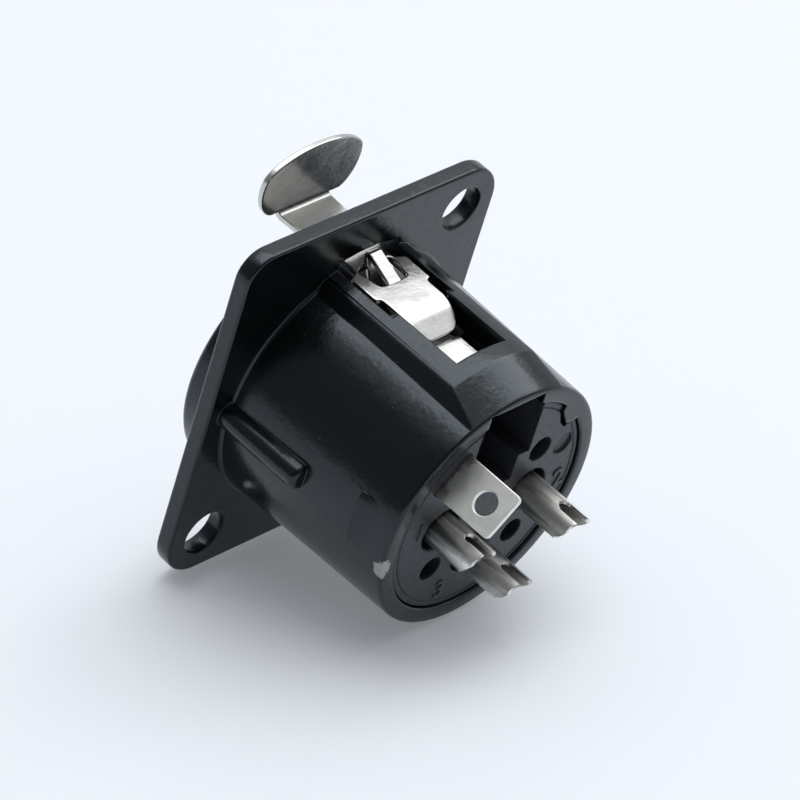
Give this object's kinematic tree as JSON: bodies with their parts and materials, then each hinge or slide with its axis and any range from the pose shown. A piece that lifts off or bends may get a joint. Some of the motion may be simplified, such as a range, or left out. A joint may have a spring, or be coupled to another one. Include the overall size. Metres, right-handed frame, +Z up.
{
  "type": "xlr panel socket",
  "caption": "Female audio panel connector: square flange with a ring in front, barrel behind, sprung push latch, contact insert with solder cups and a ground tab.",
  "frame": {"origin": "On the connector's axis, in the plane of the flange's rear face, which seats on the panel. That point is the mount panel_cutout.", "axes": "+Y runs along the connector's axis from the mating side to the solder side. +Z is up, with the push latch on top, and +X is to the right as seen from the mating side."},
  "size_m": [0.026, 0.0295, 0.0322],
  "materials": {
    "black_paint": "gloss black paint over die-cast metal",
    "black_nylon": "satin black moulded plastic",
    "nickel_contact": "plated turned contact, slightly dull",
    "nickel_ground": "plated sheet, satin",
    "nickel_spring": "plated spring strip",
    "nickel_lever": "bright nickel-plated sheet"
  },
  "bodies": {
    "socket": {"shell": "black_paint", "contact_insert": "black_nylon", "contact_1": "nickel_contact", "contact_2": "nickel_contact", "contact_3": "nickel_contact", "ground_contact": "nickel_ground", "latch_spring": "nickel_spring"},
    "latch": {"latch_lever": "nickel_lever"}
  },
  "joints": [
    {"name": "latch_pivot", "type": "hinge", "parent": "socket", "child": "latch", "pos_m": [0, 0.0052, 0.01], "axis": [-1, 0, 0], "range_deg": [0, 9], "stiffness_Nm_per_rad": 0.02, "springref_deg": -8.59, "deforming": ["latch_spring"]}
  ]
}
